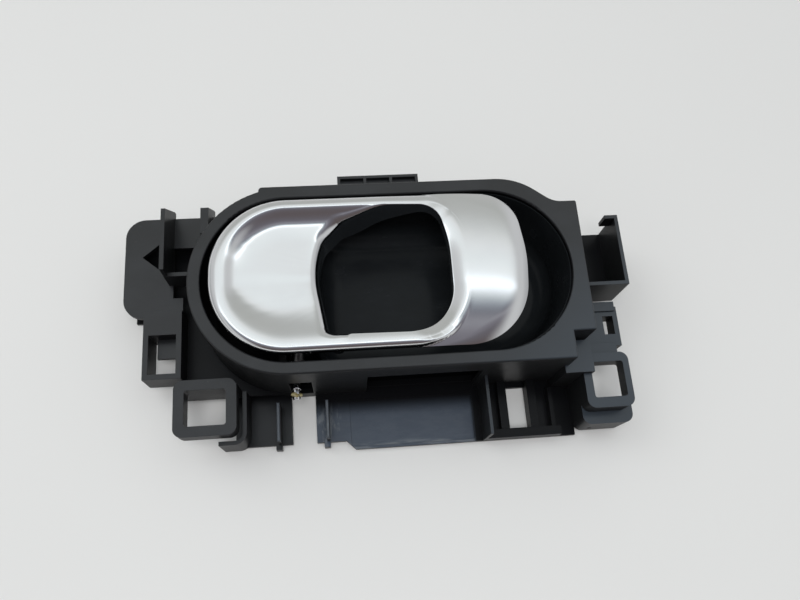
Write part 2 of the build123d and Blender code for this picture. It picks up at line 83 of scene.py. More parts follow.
# Shader wiring: a Wire is one socket, and arithmetic on it adds Math nodes
class Wire:
    def __init__(self, finish, socket):
        self.finish = finish
        self.socket = socket

    def maths(self, operation, first, second=0.0):
        return self.finish.node("Math", {"operation": operation}, {0: first, 1: second})

    def __add__(self, other):
        return self.maths("ADD", self, other)

    def __radd__(self, other):
        return self.maths("ADD", other, self)

    def __sub__(self, other):
        return self.maths("SUBTRACT", self, other)

    def __rsub__(self, other):
        return self.maths("SUBTRACT", other, self)

    def __mul__(self, other):
        return self.maths("MULTIPLY", self, other)

    def __rmul__(self, other):
        return self.maths("MULTIPLY", other, self)

    def __truediv__(self, other):
        return self.maths("DIVIDE", self, other)

    def __rtruediv__(self, other):
        return self.maths("DIVIDE", other, self)

    def __pow__(self, other):
        return self.maths("POWER", self, other)

    def __rpow__(self, other):
        return self.maths("POWER", other, self)

    def __abs__(self):
        return self.maths("ABSOLUTE", self)

    def atLeast(self, other):
        return self.maths("MAXIMUM", self, other)

    def angleFrom(self, other):
        return self.maths("ARCTAN2", self, other)


class Finish:
    def __init__(self, tree):
        self.tree = tree
        tree.nodes.clear()

    def feed(self, socket, value):
        if isinstance(value, Wire):
            self.tree.links.new(value.socket, socket)
        else:
            socket.default_value = value

    # Settings go first, because some of them change which sockets there are
    def node(self, kind, settings={}, sockets={}, give=0):
        made = self.tree.nodes.new("ShaderNode" + kind)
        for name, value in settings.items():
            if name == "stops":
                self.setStops(made.color_ramp, value)
            else:
                setattr(made, name, value)
        for name, value in sockets.items():
            self.feed(made.inputs[name], value)
        return Wire(self, made.outputs[give]) if made.outputs else made

    def setStops(self, ramp, stops):
        while len(ramp.elements) < len(stops):
            ramp.elements.new(1.0)
        for element, (place, colour) in zip(ramp.elements, stops):
            element.position = place
            element.color = colour if len(colour) == 4 else (*colour, 1.0)

    def spots(self, scale=(1.0, 1.0, 1.0)):
        place = self.node("TexCoord", give="Object")
        if tuple(scale) == (1.0, 1.0, 1.0):
            return place
        return self.node("Mapping", {}, {"Vector": place, "Scale": scale})

    def grain(self, size, detail=2.0, rough=0.5, stretch=(1.0, 1.0, 1.0)):
        return self.node("TexNoise", {}, {
            "Vector": self.spots(stretch), "Scale": 1.0 / size, "Detail": detail, "Roughness": rough})

    # A soft step: 0 below low, 1 above high
    def step(self, value, low, high):
        return self.node("MapRange", {"interpolation_type": "SMOOTHSTEP"}, {
            "Value": value, "From Min": low, "From Max": high})

    # 1 up to a top, with a soft edge just below it
    def below(self, value, top, soft):
        return 1 - self.step(value, top - soft, top)

    # 1 between two places, with a soft edge just inside each
    def between(self, value, low, high, soft):
        return self.step(value, low, low + soft) * self.below(value, high, soft)

    # A Mix node's colours go into its sockets 6 and 7 and come out of its output 2
    def mix(self, share, first, second):
        return self.node("Mix", {"data_type": "RGBA"}, {0: share, 6: first, 7: second}, 2)

    def bump(self, height, strength, depth, edge=None):
        sockets = {"Height": height, "Strength": strength, "Distance": depth}
        if edge:
            sockets["Normal"] = self.node("Bevel", {"samples": 4}, {"Radius": edge})
        return self.node("Bump", {}, sockets)

    def surface(self, sockets):
        skin = self.node("BsdfPrincipled", {}, sockets)
        self.node("OutputMaterial", {}, {"Surface": skin})


def newFinish(name):
    material = bpy.data.materials.new(name)
    material.use_nodes = True
    return material, Finish(material.node_tree)


# Satin chrome: plated metal with a very fine tooth, and faint cloudy handling marks
satinChrome = {
    "tint": (0.79, 0.80, 0.81, 1), "haze": (0.75, 0.76, 0.775, 1), "hazeShare": 0.5,
    "shine": 0.105, "dull": 0.14, "toothRough": 0.02, "cloudSize": 0.018, "toothSize": 0.00035,
}


def makeSatinChrome(c):
    material, f = newFinish("satinChrome")
    cloud = f.step(f.grain(c["cloudSize"], detail=3.0, rough=0.55), 0.42, 0.68)
    tooth = f.grain(c["toothSize"], detail=2.0, rough=0.6)
    f.surface({
        "Base Color": f.mix(cloud * c["hazeShare"], c["tint"], c["haze"]),
        "Metallic": 1.0,
        "Roughness": c["shine"] + cloud * (c["dull"] - c["shine"]) + (tooth - 0.5) * c["toothRough"],
        "Normal": f.bump(tooth, strength=0.02, depth=0.00001),
    })
    return material


# Moulded black: charcoal plastic with a fine spark-eroded grain, a glossy coat on what faces the front and
# a flat tone on walls, with painted near-black shade inside the lever's opening, painted shade on the low
# decks, a painted blue sheen on the tray, a painted highlight on the rib tops and a painted bluish sheen
# towards the lower right
mouldedBlack = {
    "deep": (0.0128, 0.0138, 0.0150, 1), "worn": (0.0192, 0.0208, 0.0230, 1), "dust": (0.05, 0.05, 0.05, 1),
    # Walls' flat tone, then painted near-black shade inside the lever's opening
    "wall": (0.0150, 0.0158, 0.0168, 1), "inside": (0.0022, 0.0023, 0.0026, 1),
    # Painted shade on the low decks, a painted blue sheen on the tray and a painted highlight on the rib
    # tops
    "low": (0.0042, 0.0045, 0.0052, 1), "tray": (0.040, 0.054, 0.078, 1), "rib": (0.070, 0.082, 0.096, 1),
    # A painted bluish sheen towards the lower right comes first on this line, the scuff marks' colour
    # second
    "paintedSheen": (0.031, 0.040, 0.050, 1), "scuff": (0.17, 0.19, 0.205, 1),
    "grainSize": 0.00042, "flowSize": 0.022, "speckSize": 0.0011, "streakSize": 0.006, "edge": 0.00035,
    "dustShare": 0.35, "scuffShare": 0.55, "facing": (0.55, 0.9),
    "rough": 0.37, "flowRough": 0.22, "grainRough": 0.10, "traySmooth": 0.12,
    "specular": 0.09, "coat": 0.82, "coatLow": 0.62, "coatTray": 0.22, "coatRough": 0.30,
    "straight": 0.039, "opening": 0.0339, "openingTop": 0.0415,
    "trayX": (-0.030, 0.038), "trayTop": -0.0345, "lowTop": 0.0115,
    "forkRight": -0.028, "forkTop": -0.032, "forkShare": 0.75,
    "ribX": (-0.0446, -0.0222), "ribTop": -0.0335, "ribRise": (0.0122, 0.0136),
    "scuffEnd": -0.0165, "scuffFront": -0.0513, "endSize": 0.0026, "frontSize": 0.0020,
    "sheenRamp": (0.045, 0.120),
}


def makeMouldedBlack(c):
    material, f = newFinish("mouldedBlack")
    fine = f.grain(c["grainSize"], detail=3.0, rough=0.6)
    flow = f.grain(c["flowSize"], detail=3.0, rough=0.55, stretch=(1.0, 1.6, 1.0))
    specks = f.step(f.grain(c["speckSize"], detail=1.0, rough=0.4), 0.735, 0.79)
    streaks = f.step(f.grain(c["streakSize"], detail=3.0, rough=0.6, stretch=(1.0, 2.5, 1.0)), 0.35, 0.65)
    x, y, z = [f.node("SeparateXYZ", {}, {0: f.spots()}, axis) for axis in "XYZ"]
    facing = f.node("SeparateXYZ", {}, {0: f.node("TexCoord", give="Normal")}, "Z")
    front = f.step(facing, *c["facing"])

    # The opening, by how far a place is from its middle line; inside it is painted near-black shade
    beyond = (abs(x - handleOrigin.x * mm) - c["straight"]).atLeast(0.0)
    aside = y - handleOrigin.y * mm
    away = (beyond * beyond + aside * aside) ** 0.5
    inside = f.below(away, c["opening"], soft=0.0003) * f.below(z, c["openingTop"], soft=0.001)

    # The tray, which gets a painted blue sheen, the low decks with the fork plate among them, which get
    # painted shade, and the tops of the fork's ribs, which get a painted highlight
    tray = f.between(x, *c["trayX"], soft=0.002) * f.below(y, c["trayTop"], soft=0.008) * front
    fork = f.below(y, c["forkTop"], soft=0.004) * f.below(x, c["forkRight"], soft=0.004)
    # Painted shade on the low decks, less of it on the fork plate; these faces also get less coat
    low = f.below(z, c["lowTop"], soft=0.0015) * front * (1 - tray) * (1 - fork * c["forkShare"])
    # Where the rib tops get a painted highlight
    rib = f.between(x, *c["ribX"], soft=0.0004) * f.below(y, c["ribTop"], soft=0.001)
    rib = rib * f.step(z, *c["ribRise"])

    # Scuffs along the tray's front edge and at its left end
    leftEnd = f.below(x, c["scuffEnd"], soft=0.003)
    frontEdge = f.below(y, c["scuffFront"], soft=0.0024)
    endMarks = f.grain(c["endSize"], detail=4.0, rough=0.65, stretch=(1.0, 0.35, 1.0))
    frontMarks = f.grain(c["frontSize"], detail=4.0, rough=0.65, stretch=(0.12, 1.0, 1.0))
    rubbedEnd = leftEnd * f.step(endMarks, 0.47, 0.63)
    rubbedFront = (1 - leftEnd) * frontEdge * f.step(frontMarks, 0.42, 0.62)
    scuff = tray * (rubbedEnd + rubbedFront)

    plain = f.mix(f.step(flow, 0.35, 0.75), c["deep"], c["worn"])
    # A painted bluish sheen, stronger towards the lower right
    plain = f.mix(f.step(x - y, *c["sheenRamp"]), plain, c["paintedSheen"])     # paler towards the lower right
    plain = f.mix(front, c["wall"], f.mix(specks * c["dustShare"], plain, c["dust"]))
    # Painted shade on the low decks, and a painted blue sheen on the tray
    plain = f.mix(tray, f.mix(low, plain, c["low"]), c["tray"])
    # A painted highlight on the rib tops, then the scuff marks on the tray
    plain = f.mix(scuff * c["scuffShare"], f.mix(rib, plain, c["rib"]), c["scuff"])
    rough = c["rough"] + (flow - 0.5) * c["flowRough"] + (fine - 0.5) * c["grainRough"]
    coat = c["coat"] - low * c["coatLow"] + tray * c["coatTray"] * streaks
    f.surface({
        "Base Color": f.mix(inside, plain, c["inside"]),
        "Roughness": rough - tray * c["traySmooth"],
        "Specular IOR Level": c["specular"],
        "Coat Weight": (1 - inside) * front * coat,
        "Coat Roughness": c["coatRough"],
        "Normal": f.bump(fine, strength=0.22, depth=0.00008, edge=c["edge"]),
    })
    return material


# Gloss black: the bowl behind the lever, polished and a little smeared
glossBlack = {
    "colour": (0.0105, 0.0122, 0.0136, 1), "smear": (0.0135, 0.0155, 0.0172, 1), "smearSize": 0.016,
    "rough": 0.17, "smearRough": 0.12, "specular": 0.10, "rippleSize": 0.0009,
}


def makeGlossBlack(c):
    material, f = newFinish("glossBlack")
    smear = f.step(f.grain(c["smearSize"], detail=4.0, rough=0.6, stretch=(1.0, 2.2, 1.0)), 0.40, 0.75)
    f.surface({
        "Base Color": f.mix(smear, c["colour"], c["smear"]),
        "Roughness": c["rough"] + smear * c["smearRough"],
        "Specular IOR Level": c["specular"],
        "Normal": f.bump(f.grain(c["rippleSize"]), strength=0.05, depth=0.00004),
    })
    return material


# Steels: ground pin with fine rings, drawn spring wire with short streaks
pinSteel = {
    "bright": (0.56, 0.555, 0.545, 1), "dark": (0.34, 0.335, 0.33, 1), "streak": (1.0, 30.0, 1.0),
    "streakSize": 0.004, "rough": 0.24, "streakRough": 0.22,
}
wireSteel = {
    "bright": (0.46, 0.455, 0.45, 1), "dark": (0.20, 0.19, 0.18, 1), "streak": (6.0, 6.0, 2.0),
    "streakSize": 0.004, "rough": 0.24, "streakRough": 0.22,
}


def makeSteel(name, c):
    material, f = newFinish(name)
    streak = f.grain(c["streakSize"], detail=3.0, rough=0.6, stretch=c["streak"])
    f.surface({
        "Base Color": f.mix(f.step(streak, 0.3, 0.7), c["dark"], c["bright"]),
        "Metallic": 1.0,
        "Roughness": c["rough"] + streak * c["streakRough"],
        "Normal": f.bump(streak, strength=0.08, depth=0.00005),
    })
    return material


# Bumper rubber: dull black with a soft bloom
bumperRubber = {
    "colour": (0.011, 0.011, 0.0115, 1), "bloom": (0.030, 0.030, 0.030, 1), "bloomSize": 0.0028,
    "rough": 0.68, "bloomRough": 0.2, "grainSize": 0.0005, "edge": 0.0003,
}


def makeBumperRubber(c):
    material, f = newFinish("bumperRubber")
    bloom = f.step(f.grain(c["bloomSize"], detail=3.0, rough=0.6), 0.45, 0.75)
    f.surface({
        "Base Color": f.mix(bloom, c["colour"], c["bloom"]),
        "Roughness": c["rough"] + bloom * c["bloomRough"],
        "Normal": f.bump(f.grain(c["grainSize"]), strength=0.25, depth=0.00008, edge=c["edge"]),
    })
    return material


# Hinge grease: a yellowed smear on the cable peg
hingeGrease = {
    "pale": (0.42, 0.38, 0.22, 1), "amber": (0.28, 0.23, 0.10, 1), "thickSize": 0.0014,
    "rough": 0.22, "thickRough": 0.18, "coat": 0.4,
}


def makeHingeGrease(c):
    material, f = newFinish("hingeGrease")
    thick = f.grain(c["thickSize"])
    f.surface({
        "Base Color": f.mix(f.step(thick, 0.35, 0.7), c["amber"], c["pale"]),
        "Roughness": c["rough"] + thick * c["thickRough"],
        "Coat Weight": c["coat"],
        "Normal": f.bump(thick, strength=0.3, depth=0.0003),
    })
    return material


finishes = {
    "housing": makeMouldedBlack(mouldedBlack),
    "finger_bowl": makeGlossBlack(glossBlack),
    "pivot_pin": makeSteel("pinSteel", pinSteel),
    "return_spring": makeSteel("wireSteel", wireSteel),
    "rest_bumper": makeBumperRubber(bumperRubber),
    "lever": makeSatinChrome(satinChrome),
}
for name, finish in finishes.items():
    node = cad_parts[name]
    for slot in node.material_slots:
        slot.material = finish
print("finishes on the CAD nodes:", len(finishes))


# Points round a line of straight runs, each corner (x, y, radius) turned with its own radius
def roundedRun(corners, turnStep=radians(1.0)):
    points = [Vector(corners[0][:2])]
    for before, here, after in zip(corners, corners[1:], corners[2:]):
        middle = Vector(here[:2])
        inward = (middle - Vector(before[:2])).normalized()
        onward = (Vector(after[:2]) - middle).normalized()
        turn = asin(max(-1.0, min(1.0, inward.cross(onward))))
        turn = turn if inward.dot(onward) >= 0 else (pi - abs(turn)) * (1 if turn > 0 else -1)
        start = middle - inward * here[2] * tan(abs(turn) / 2)
        side = Vector((-inward.y, inward.x)) * (1 if turn > 0 else -1)
        hub = start + side * here[2]
        steps = max(2, round(abs(turn) / turnStep))
        for i in range(steps + 1):
            part = turn * i / steps
            points.append(hub + Matrix.Rotation(part, 2) @ (start - hub))
    return points + [Vector(corners[-1][:2])]


# The same line with points at given shares of its length, and the way square to it
def walk(points, shares):
    lengths = [0.0]
    for a, b in zip(points, points[1:]):
        lengths.append(lengths[-1] + (b - a).length)
    spots = []
    i = 0
    for share in shares:
        goal = share * lengths[-1]
        while i < len(points) - 2 and lengths[i + 1] < goal:
            i += 1
        run = max(lengths[i + 1] - lengths[i], 1e-9)
        along = (points[i + 1] - points[i]).normalized()
        spots.append((points[i].lerp(points[i + 1], (goal - lengths[i]) / run),
                      Vector((along.y, -along.x))))
    return spots


# A line with extra points along its long straight runs
def dense(points, gap=0.5):
    filled = [points[0]]
    for a, b in zip(points, points[1:]):
        steps = max(1, round((b - a).length / gap))
        filled += [a.lerp(b, i / steps) for i in range(1, steps + 1)]
    return filled


def softMax(a, b, width):
    near = max(width - abs(a - b), 0.0) / width
    return max(a, b) + near * near * width / 4


def smooth(value):
    value = max(0.0, min(1.0, value))
    return value * value * (3 - 2 * value)


# A smooth rise from 0 at a start to 1 a run further on
def eased(value, start, run):
    return smooth((value - start) / run)


# The finished bmesh goes to the handle's place in metres and becomes an object
def makePiece(bm, name, material, sharp):
    bmesh.ops.translate(bm, vec=handleOrigin, verts=bm.verts)
    bmesh.ops.scale(bm, vec=(mm, mm, mm), verts=bm.verts)
    for face in bm.faces:
        face.smooth = True
    mesh = bpy.data.meshes.new(name)
    bm.to_mesh(mesh)
    bm.free()
    mesh.set_sharp_from_angle(angle=radians(sharp))
    mesh.materials.append(material)
    piece = bpy.data.objects.new(name, mesh)
    scene.collection.objects.link(piece)
    return piece


# Lever shell: a ridge runs round the dish and the void, and the pull panel lies flush with it on the right.
# Three lines go round the lever anticlockwise from the lip's lower end: outline, ridge and the void's edge.
# A value that ends in Fade is a start and a run. One that ends in Turn says how far to one side the ridge
# faces before a change is whole.
leverShell = {
    "left": -68.85, "right": 54.25, "half": 31.0, "endRound": 29.5, "upperRound": 15.0, "lowerRound": 25.5,
    "bulge": 3.0, "bulgeY": 4.0, "bulgeRound": 60.0, "edgeZ": 44.0,
    "edgeFillet": 0.9, "panelFillet": 7.0, "filletMost": 0.45, "panelDrop": 1.2, "dropPower": 2.5,
    "ridgeZ": 47.495, "ridgeLeft": -64.3, "ridgeRight": 29.6, "ridgeTop": 27.2, "ridgeLow": -28.8,
    "ridgeEndRound": 25.4, "ridgeUpperRound": 14.9, "ridgeLowerRound": 22.5, "ridgeTurn": 0.8,
    "flankPower": 2.0, "lowPower": 1.2, "cornerPower": 2.0, "cornerTurn": 0.5, "flankWidth": 2.6,
    "flankShare": 0.45, "flankDrop": 8.0, "panelFade": (4.0, 14.0),
    "panelCrown": 150.0, "panelCrownY": 3.0, "panelSweep": 110.0, "panelStart": 9.0, "panelStartFall": 0.5,
    "bendLean": 7.2, "leanFrom": 5.0, "leanRun": 24.0, "bendFade": (-7.0, 7.0), "bendLess": 0.85,
    "bendLessRun": 24.0, "crownTurn": 0.42,
    "crestSink": 1.57, "crestFade": (-3.0, 26.0), "joinFade": (0.5, 0.3),
    "crease": 0.03, "creaseGrow": 0.5, "creaseMost": 0.8, "creaseTries": 16, "creaseLeast": 1.0,
    "voidRight": 23.8, "voidTop": 26.2, "voidLow": -26.1, "voidUpperRound": 9.0, "voidCornerX": 20.0,
    "voidLowerRound": 18.5, "voidBend": (10.0, 45.0),
    "lipLow": (-20.0, -25.3), "lipHigh": (-15.5, 21.4),
    "lipCorners": [(-2.0, 26.2, 25.0), (-17.5, 20.6, 6.0), (-24.6, 13.6, 8.0), (-28.4, 2.0, 40.0),
                   (-24.0, -25.1, 4.0)],
    "lowFade": (0.0, 4.0), "dishFade": (5.0, 13.0), "footFade": (1.0, 34.0),
    "dishDepth": 3.2, "lowerRise": 1.0, "dishRun": 10.0, "dishRunTop": 8.4, "dishRunLow": 21.0,
    "dishEase": 0.8, "dishCrowd": 1.6, "floorBow": 0.6, "floorRun": 14.0, "bowTurn": 0.5,
    "bandFall": 0.23, "bandFallRight": 0.56, "bandEase": 1.8,
    "lipRound": 4.6, "wallRound": 0.2, "lipFoot": 28.0, "wallFoot": 40.2, "lipWall": 2.5, "ringWall": 0.5,
    "under": 40.5, "underFade": (2.0, 4.0), "dishWall": 2.5, "panelWall": 3.0, "panelEdge": 0.65,
    "hems": [(0.5, 2.6), (0.12, 1.4), (0.02, 0.4)], "underStart": 1.2, "underEnd": 0.9,
    "stations": (60, 80, 50, 70, 200), "gather": 0.6, "edgeLoops": 10, "panelLoops": 12, "flankLoops": 9,
    "dishLoops": 28, "lipLoops": 7, "wallLoops": 3, "behindShares": (0.0, 0.5, 0.9), "underLoops": 6,
}


def makeLeverShell(c):
    middleX = (c["ridgeLeft"] + c["ridgeRight"]) / 2
    reachX = (c["ridgeRight"] - c["ridgeLeft"]) / 2
    middleY = (c["ridgeTop"] + c["ridgeLow"]) / 2
    reachY = (c["ridgeTop"] - c["ridgeLow"]) / 2
    low, high = c["lipLow"], c["lipHigh"]
    edgeRight = c["right"] - c["bulge"]

    # How far a place lies inside the ridge line
    def depthIn(flat):
        corner = c["ridgeEndRound"]
        if flat.x > middleX:
            corner = c["ridgeUpperRound"] if flat.y > middleY else c["ridgeLowerRound"]
        a = abs(flat.x - middleX) - reachX + corner
        b = abs(flat.y - middleY) - reachY + corner
        return corner - min(max(a, b), 0.0) - hypot(max(a, 0.0), max(b, 0.0))

    def roundLine(top, bottom, left, leftRound, right):
        start = (low[0], bottom)
        return roundedRun([start] + right + [(left, top, leftRound), (left, bottom, leftRound), start])

    outline = roundLine(c["half"], -c["half"], c["left"], c["endRound"], [
        (edgeRight, -c["half"], c["lowerRound"]), (c["right"], c["bulgeY"], c["bulgeRound"]),
        (edgeRight, c["half"], c["upperRound"])])
    ridge = roundLine(c["ridgeTop"], c["ridgeLow"], c["ridgeLeft"], c["ridgeEndRound"], [
        (c["ridgeRight"], c["ridgeLow"], c["ridgeLowerRound"]),
        (c["ridgeRight"], c["ridgeTop"], c["ridgeUpperRound"])])
    voidRightSide = [
        (c["voidRight"], c["voidLow"], c["voidLowerRound"]), (c["voidRight"], *c["voidBend"]),
        (c["voidCornerX"], c["voidTop"], c["voidUpperRound"])]
    voidEdge = roundedRun([low] + voidRightSide + c["lipCorners"] + [low])

    # Stations go round in five stretches between matched places, crowded at the ends of the dish's stretch
    lowTurn = c["ridgeRight"] - c["ridgeLowerRound"]
    topTurn = c["ridgeRight"] - c["ridgeUpperRound"]

    def spotsOn(line, right, top, bottom, highY):
        line = dense(line)
        spots, begin = [], 0
        splits = [(lowTurn, bottom), (right, c["bulgeY"]), (topTurn, top), (high[0], highY)]
        for count, place in zip(c["stations"], splits + [None]):
            shares = [i / count for i in range(count)]
            end = len(line) - 1
            if place:
                end = min(range(begin, len(line)), key=lambda i: (line[i] - Vector(place)).length)
            else:
                shares = [s - c["gather"] * sin(2 * pi * s) / (2 * pi) for s in shares]
            spots += walk(line[begin:end + 1], shares)
            begin = end
        return spots

    # The panel is crowned from top to bottom, sweeps down towards the right and bends down beside the void
    def panelFall(y):
        return c["panelCrown"] - sqrt(c["panelCrown"] ** 2 - (y - c["panelCrownY"]) ** 2)

    def easedFall(steep, run):
        return steep * (hypot(run, c["bandEase"]) - c["bandEase"])

    def panelFace(flat):
        swept = sqrt((c["panelSweep"] - panelFall(flat.y)) ** 2 - max(0.0, flat.x - c["ridgeRight"]) ** 2)
        start = easedFall(c["panelStartFall"], max(0.0, c["panelStart"] - flat.x))
        return c["ridgeZ"] - c["panelSweep"] + swept - c["crease"] - start

    def panelBend(flat):
        lean = c["bendLean"] * (max(0.0, flat.y - c["leanFrom"]) / c["leanRun"]) ** 2
        bend = easedFall(c["bandFallRight"], max(0.0, c["ridgeRight"] - lean - flat.x))
        less = c["bendLess"] * eased(flat.y, c["panelCrownY"], c["bendLessRun"])
        return bend * eased(flat.y, *c["bendFade"]) * (1 - less)

    def panelHeight(flat):
        return panelFace(flat) - panelBend(flat)

    def flankHeight(crest, slope, power, flat):
        out = max(0.0, -depthIn(flat) / slope)
        fall = max(0.0, 1 - out ** power) ** (1 / power)
        return c["edgeZ"] + (crest - c["edgeZ"]) * fall - c["flankDrop"] * max(0.0, out - 1)

    # How far outside the ridge its slope meets the panel, found by halving
    def creaseRun(top, topOut, crest, slope, power):
        near, far = 0.0, slope
        for _ in range(c["creaseTries"]):
            run = (near + far) / 2
            spot = top + topOut * run
            if flankHeight(crest, slope, power, spot) > panelHeight(spot):
                near = run
            else:
                far = run
        return max(c["creaseLeast"], near)

    edges = spotsOn(outline, c["right"], c["half"], -c["half"], c["half"])
    ridges = spotsOn(ridge, c["ridgeRight"], c["ridgeTop"], c["ridgeLow"], c["ridgeTop"])
    voids = spotsOn(voidEdge, c["voidRight"], c["voidTop"], c["voidLow"], high[1])
    firstDish = sum(c["stations"][:-1])
    stations = []
    for i, ((edge, edgeOut), (top, topOut), (rim, rimOut)) in enumerate(zip(edges, ridges, voids)):
        dish, deep = 1.0, 1.0
        if i < firstDish:
            nearLow = eased((rim - Vector(low)).length, *c["lowFade"])
            fromHigh = (rim - Vector(high)).length
            dish = 2 - nearLow - eased(fromHigh, *c["dishFade"])
            deep = 2 - nearLow - eased(fromHigh, *c["footFade"])
        beyond = -depthIn(edge)
        panel = eased(beyond, *c["panelFade"])
        fillet = c["edgeFillet"] + (c["panelFillet"] - c["edgeFillet"]) * panel
        fillet = min(fillet, c["filletMost"] * beyond)

        # The ridge's own height, and how much of the panel's crown and bend the band inside it shares
        upper = top.y > c["panelCrownY"]
        crest = c["ridgeZ"] - (c["ridgeZ"] - panelFace(top)) * smooth(topOut.x / c["ridgeTurn"])
        crowned, bent = 0.0, 0.0
        if upper:
            crowned = smooth(topOut.x / c["crownTurn"])
            bent = smooth(topOut.x)
            crest = c["ridgeZ"] - c["crestSink"] * eased(top.x, *c["crestFade"])
            crest += (panelHeight(top) - crest) * eased(topOut.x, *c["joinFade"])
        crease = c["crease"] + c["creaseGrow"] * max(0.0, crest - panelHeight(top))
        fall = c["bandFall"] * (1 - smooth(rimOut.y)) * (1 - smooth(rimOut.x))
        fall = 0.0 if upper else fall + c["bandFallRight"] * smooth(rimOut.x)

        # The slope outside the ridge, and the line where it meets the panel
        slope = beyond
        if topOut.x > 0:
            slope = min(beyond, c["half"] - c["ridgeTop"] if topOut.y > 0 else c["half"] + c["ridgeLow"])
            slope += (c["flankWidth"] - slope) * smooth(topOut.x / c["ridgeTurn"])
        power = c["flankPower"] + c["lowPower"] * smooth(-topOut.y)
        if not upper:
            power += c["cornerPower"] * smooth(topOut.x / c["cornerTurn"])
        meet = creaseRun(top, topOut, crest, slope, power)
        flank = top.lerp(edge, c["flankShare"] * (1 - panel)) + topOut * meet * panel

        # The dish's wall and floor, and the lip or wall that goes down into the opening
        run = c["dishRun"] + (c["dishRunLow"] - c["dishRun"]) * smooth(-topOut.y)
        run += (c["dishRunTop"] - c["dishRun"]) * smooth(topOut.y)
        bow = c["floorBow"] * smooth(topOut.y / c["bowTurn"])
        depth = c["dishDepth"] - c["lowerRise"] * (0.5 - 0.5 * topOut.y) - bow
        bend = min(c["wallRound"] + (c["lipRound"] - c["wallRound"]) * dish, (rim - top).length / 2)
        foot = c["wallFoot"] + (c["lipFoot"] - c["wallFoot"]) * deep
        wall = c["ringWall"] + (c["lipWall"] - c["ringWall"]) * dish
        stations.append({
            "edge": edge, "edgeOut": edgeOut, "fillet": fillet, "inner": edge - edgeOut * fillet,
            "flank": flank, "ridge": top, "void": rim, "voidOut": rimOut, "dish": dish, "panel": panel,
            "crest": crest, "crease": min(c["creaseMost"], crease), "crowned": crowned, "bent": bent,
            "bandFall": fall, "slope": slope, "power": power, "run": run, "bow": bow, "depth": depth,
            "bend": bend, "foot": foot, "wall": wall})

    def outerHeight(s, flat):
        flank = flankHeight(s["crest"], s["slope"], s["power"], flat)
        return softMax(flank, panelHeight(flat), s["crease"])

    # Inside the ridge: a dish wall that is steepest near its top, or a plain fall beside the void
    def innerHeight(s, flat):
        depth = max(0.0, depthIn(flat))
        u = min(1.0, (hypot(depth, c["dishEase"]) - c["dishEase"]) / s["run"])
        dish = s["depth"] * u * u * (10 - 20 * u + 15 * u * u - 4 * u ** 3)
        dish += s["bow"] * smooth(depth / c["floorRun"])
        band = easedFall(s["bandFall"], depth) + (panelFace(s["ridge"]) - panelFace(flat)) * s["crowned"]
        band += (panelBend(flat) - panelBend(s["ridge"])) * s["bent"]
        return s["crest"] - band - (dish - band) * s["dish"]

    # Below the outer edge, less far down under the panel
    def underEdge(s, inward, down):
        top = roundEdge(s, 0.0)
        flat = s["edge"] - s["edgeOut"] * inward
        return flat, top[1] - down * (1 - (1 - c["panelEdge"]) * s["panel"])

    def roundEdge(s, angle):
        flat = s["edge"] - s["edgeOut"] * s["fillet"] * (1 - cos(angle))
        return flat, outerHeight(s, flat) - s["panel"] * c["panelDrop"] * cos(angle) ** c["dropPower"]

    def onPanel(s, share):
        flat = s["inner"].lerp(s["flank"], share)
        return flat, outerHeight(s, flat)

    def onFlank(s, share):
        flat = s["flank"].lerp(s["ridge"], share)
        return flat, outerHeight(s, flat)

    def inDish(s, share):
        flat = s["ridge"].lerp(s["void"] + s["voidOut"] * s["bend"], share)
        return flat, innerHeight(s, flat)

    def overLip(s, angle):
        start = s["void"] + s["voidOut"] * s["bend"]
        flat = start - s["voidOut"] * s["bend"] * sin(angle)
        return flat, innerHeight(s, start) - s["bend"] * (1 - cos(angle))

    def downWall(s, share):
        flat, top = overLip(s, pi / 2)
        return flat, top + (s["foot"] - top) * share

    def behindWall(s, share):
        flat = s["void"] + s["voidOut"] * s["wall"]
        return flat, s["foot"] + (underside(s, flat) - s["foot"]) * share

    def underside(s, flat):
        if depthIn(flat) > 0:
            return min(innerHeight(s, flat) - c["dishWall"], c["under"])
        raised = eased(-depthIn(flat), *c["underFade"]) * s["panel"]
        return c["under"] + (outerHeight(s, flat) - c["panelWall"] - c["under"]) * raised

    def acrossUnder(s, share):
        start = s["void"] + s["voidOut"] * s["wall"] * c["underStart"]
        flat = start.lerp(s["edge"] - s["edgeOut"] * c["underEnd"], share)
        return flat, underside(s, flat)

    # Loops from the hem under the outer edge, over the lever, down into the opening and back underneath
    def shares(count):
        return [i / count for i in range(1, count + 1)]

    hem, *hemSteps = c["hems"]
    loops = [(underEdge, *hemStep) for hemStep in hemSteps]
    loops += [(roundEdge, pi / 2 * share) for share in [0.0] + shares(c["edgeLoops"])]
    loops += [(onPanel, share) for share in shares(c["panelLoops"])]
    loops += [(onFlank, share) for share in shares(c["flankLoops"])]
    loops += [(inDish, share ** c["dishCrowd"]) for share in shares(c["dishLoops"])]
    loops += [(overLip, pi / 2 * share) for share in shares(c["lipLoops"])]
    loops += [(downWall, share) for share in shares(c["wallLoops"])]
    loops += [(behindWall, share) for share in c["behindShares"]]
    loops += [(acrossUnder, share) for share in [0.0] + shares(c["underLoops"])]
    loops += [(underEdge, *hem)]

